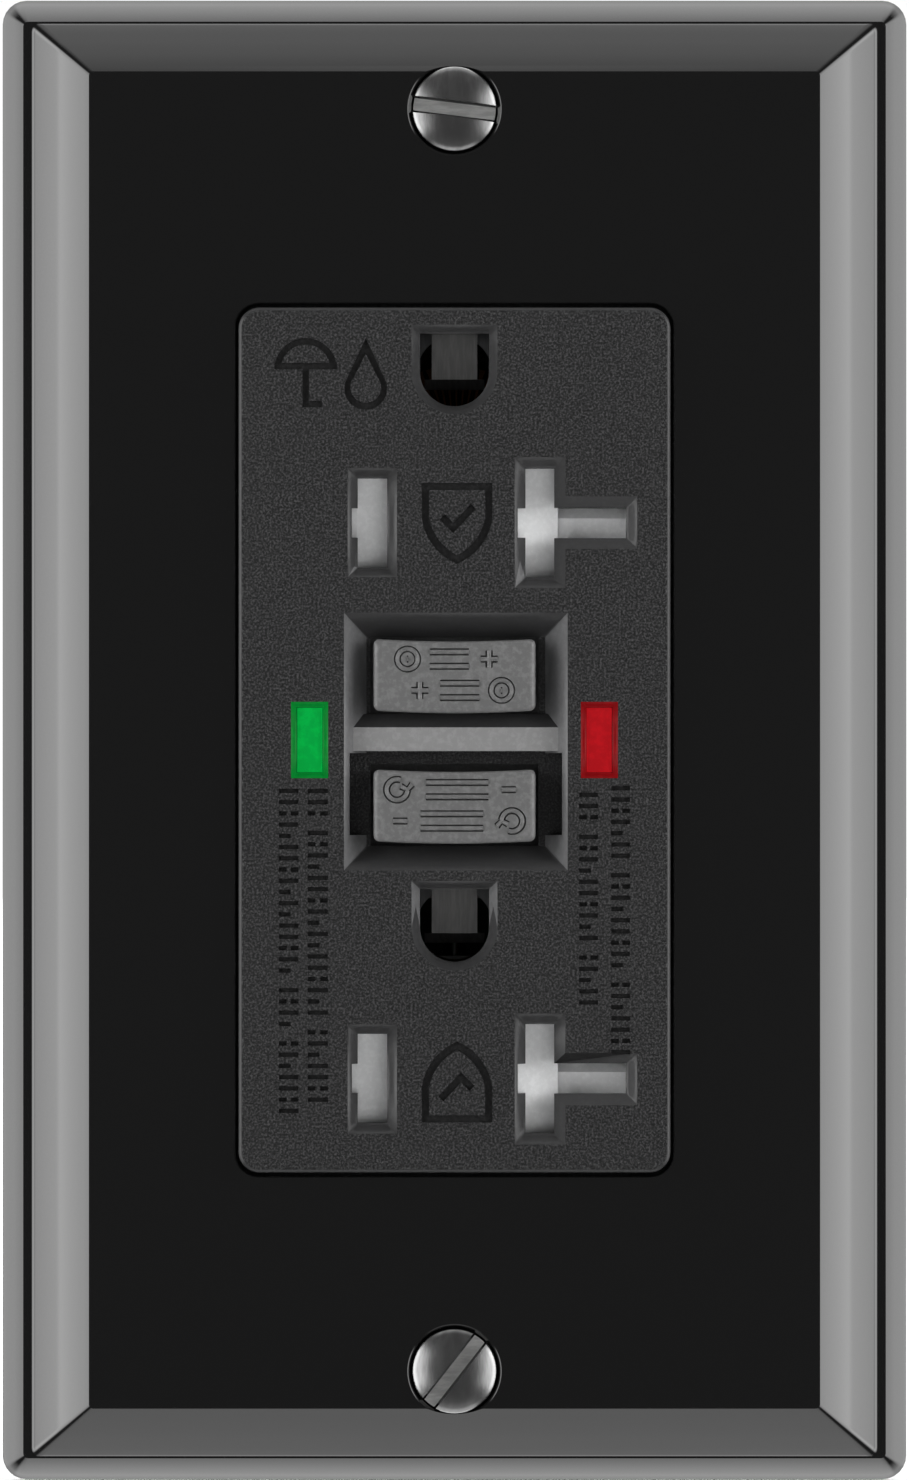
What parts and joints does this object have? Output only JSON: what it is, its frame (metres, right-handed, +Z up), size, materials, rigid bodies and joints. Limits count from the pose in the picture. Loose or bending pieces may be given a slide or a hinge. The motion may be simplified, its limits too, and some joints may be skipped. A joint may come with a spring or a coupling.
{
  "type": "gfci outlet",
  "caption": "Flush ground-fault receptacle with two shuttered sockets, test and reset buttons, indicator windows and a bevelled wall plate.",
  "frame": {"origin": "midway between the two box screws, on the back of the mounting strap, which is the wall's surface", "axes": "+X right, +Y into the wall, +Z up; the room is at -Y"},
  "size_m": [0.0698, 0.0381, 0.1142],
  "materials": {
    "plate_plastic": "polished",
    "plate_screw_metal": "black nickel",
    "face_plastic": "fine grained",
    "button_plastic": "satin",
    "green_lens": "clear tinted",
    "red_lens": "clear tinted",
    "lamp_lens": "water clear",
    "shutter_plastic": "moulded",
    "retainer_plastic": "moulded",
    "spring_steel": "drawn wire",
    "strap_steel": "zinc plated",
    "ground_leaf_metal": "dark plated",
    "ground_screw_paint": "green dyed zinc",
    "screw_steel": "zinc plated",
    "washer_plastic": "moulded",
    "middle_plastic": "moulded",
    "housing_plastic": "moulded",
    "contact_brass": "stamped",
    "contact_nickel": "nickel plated brass",
    "contact_silver": "silver alloy",
    "latch_plastic": "moulded",
    "latch_steel": "stamped",
    "bobbin_plastic": "moulded",
    "winding_copper": "enamelled wire",
    "board_laminate": "solder mask",
    "chip_plastic": "moulded",
    "capacitor_coat": "dipped",
    "resistor_coat": "dipped",
    "case_plastic": "moulded",
    "wire_insulation": "extruded",
    "terminal_brass": "turned",
    "terminal_nickel": "nickel plated"
  },
  "bodies": {
    "device": {"wall_plate": "plate_plastic", "wall_plate_screws": "plate_screw_metal", "front_cover": "face_plastic", "test_leaf": "contact_brass", "test_contact_pin": "contact_nickel", "green_light_pipe": "green_lens", "red_light_pipe": "red_lens", "indicator_lamps": "lamp_lens", "shutter_retainers": "retainer_plastic", "mounting_strap": "strap_steel", "ground_contacts": "ground_leaf_metal", "ground_screw": "ground_screw_paint", "box_screws": "screw_steel", "screw_retainers": "washer_plastic", "middle_frame": "middle_plastic", "hot_bus": "contact_brass", "neutral_bus": "contact_nickel", "fixed_contacts": "contact_silver", "solenoid_bobbin": "bobbin_plastic", "solenoid_coil": "winding_copper", "solenoid_frame": "latch_steel", "plunger_spring": "spring_steel", "circuit_board": "board_laminate", "board_chips": "chip_plastic", "board_capacitors": "capacitor_coat", "board_resistors": "resistor_coat", "sense_toroid": "winding_copper", "neutral_toroid": "winding_copper", "transformer_case": "case_plastic", "line_conductors": "wire_insulation", "rear_housing": "housing_plastic", "housing_screws": "screw_steel", "line_terminal_plates": "contact_brass", "upper_shutter_spring": "spring_steel", "upper_gate_spring": "spring_steel", "lower_shutter_spring": "spring_steel", "lower_gate_spring": "spring_steel"},
    "test_button": {"test_button": "button_plastic"},
    "reset_float": {"reset_spring": "spring_steel"},
    "reset_stem": {"reset_button": "button_plastic", "reset_pin": "latch_steel"},
    "plunger": {"solenoid_plunger": "latch_steel"},
    "latch_block": {"latch_block": "latch_plastic", "latch_plate_spring": "spring_steel"},
    "latch_plate": {"latch_plate": "latch_steel"},
    "hot_arm": {"hot_contact_arm": "contact_brass"},
    "neutral_arm": {"neutral_contact_arm": "contact_nickel"},
    "upper_shutter": {"upper_shutter": "shutter_plastic"},
    "lower_shutter": {"lower_shutter": "shutter_plastic"},
    "upper_gate": {"upper_leg_gate": "shutter_plastic"},
    "lower_gate": {"lower_leg_gate": "shutter_plastic"},
    "line_hot_terminal": {"line_hot_screw": "terminal_brass", "line_hot_clamp": "screw_steel"},
    "line_neutral_terminal": {"line_neutral_screw": "terminal_nickel", "line_neutral_clamp": "screw_steel"},
    "load_hot_terminal": {"load_hot_screw": "terminal_brass", "load_hot_clamp": "screw_steel"},
    "load_neutral_terminal": {"load_neutral_screw": "terminal_nickel", "load_neutral_clamp": "screw_steel"}
  },
  "joints": [
    {"name": "test_press", "type": "slide", "parent": "device", "child": "test_button", "axis": [0, 1, 0], "range_m": [0, 0.0015], "stiffness_N_per_m": 1500, "springref_m": -0.001, "deforming": ["test_leaf"]},
    {"name": "plunger_stroke", "type": "slide", "parent": "device", "child": "plunger", "axis": [0, 0, 1], "range_m": [0, 0.002], "stiffness_N_per_m": 200, "springref_m": -0.001, "deforming": ["plunger_spring"]},
    {"name": "reset_pop_out", "type": "slide", "parent": "device", "child": "reset_float", "axis": [0, -1, 0], "range_m": [0, 0.0016], "deforming": ["reset_spring"]},
    {"name": "reset_press", "type": "slide", "parent": "reset_float", "child": "reset_stem", "axis": [0, 1, 0], "range_m": [0, 0.001], "stiffness_N_per_m": 2000, "springref_m": -0.001},
    {"name": "latch_block_drop", "type": "slide", "parent": "device", "child": "latch_block", "axis": [0, 1, 0], "range_m": [0, 0.0012]},
    {"name": "latch_plate_slide", "type": "slide", "parent": "latch_block", "child": "latch_plate", "axis": [0, 0, 1], "range_m": [0, 0.002], "deforming": ["latch_plate_spring"]},
    {"name": "hot_arm_swing", "type": "hinge", "parent": "device", "child": "hot_arm", "pos_m": [-0.0074, 0.0147, 0.008], "axis": [1, 0, 0], "range_deg": [0, 5]},
    {"name": "neutral_arm_swing", "type": "hinge", "parent": "device", "child": "neutral_arm", "pos_m": [0.0074, 0.0147, 0.008], "axis": [1, 0, 0], "range_deg": [0, 5]},
    {"name": "upper_shutter_slide", "type": "slide", "parent": "device", "child": "upper_shutter", "axis": [-1, 0, 0], "range_m": [0, 0.003], "stiffness_N_per_m": 150, "springref_m": -0.001, "deforming": ["upper_shutter_spring"]},
    {"name": "upper_gate_slide", "type": "slide", "parent": "device", "child": "upper_gate", "axis": [0, 0, -1], "range_m": [0, 0.0025], "stiffness_N_per_m": 150, "springref_m": -0.001, "deforming": ["upper_gate_spring"]},
    {"name": "lower_shutter_slide", "type": "slide", "parent": "device", "child": "lower_shutter", "axis": [-1, 0, 0], "range_m": [0, 0.003], "stiffness_N_per_m": 150, "springref_m": -0.001, "deforming": ["lower_shutter_spring"]},
    {"name": "lower_gate_slide", "type": "slide", "parent": "device", "child": "lower_gate", "axis": [0, 0, -1], "range_m": [0, 0.0025], "stiffness_N_per_m": 150, "springref_m": -0.001, "deforming": ["lower_gate_spring"]},
    {"name": "line_hot_loosen", "type": "slide", "parent": "device", "child": "line_hot_terminal", "axis": [-1, 0, 0], "range_m": [0, 0.0022]},
    {"name": "line_neutral_loosen", "type": "slide", "parent": "device", "child": "line_neutral_terminal", "axis": [1, 0, 0], "range_m": [0, 0.0022]},
    {"name": "load_hot_loosen", "type": "slide", "parent": "device", "child": "load_hot_terminal", "axis": [-1, 0, 0], "range_m": [0, 0.0022]},
    {"name": "load_neutral_loosen", "type": "slide", "parent": "device", "child": "load_neutral_terminal", "axis": [1, 0, 0], "range_m": [0, 0.0022]}
  ],
  "couplings": [
    {"joint": "reset_pop_out", "follows": "plunger_stroke", "ratio": 0.8},
    {"joint": "latch_block_drop", "follows": "plunger_stroke", "ratio": 0.6},
    {"joint": "latch_plate_slide", "follows": "plunger_stroke", "ratio": 1},
    {"joint": "hot_arm_swing", "follows": "plunger_stroke", "rad_per_m": 40.541},
    {"joint": "neutral_arm_swing", "follows": "plunger_stroke", "rad_per_m": 40.541}
  ]
}
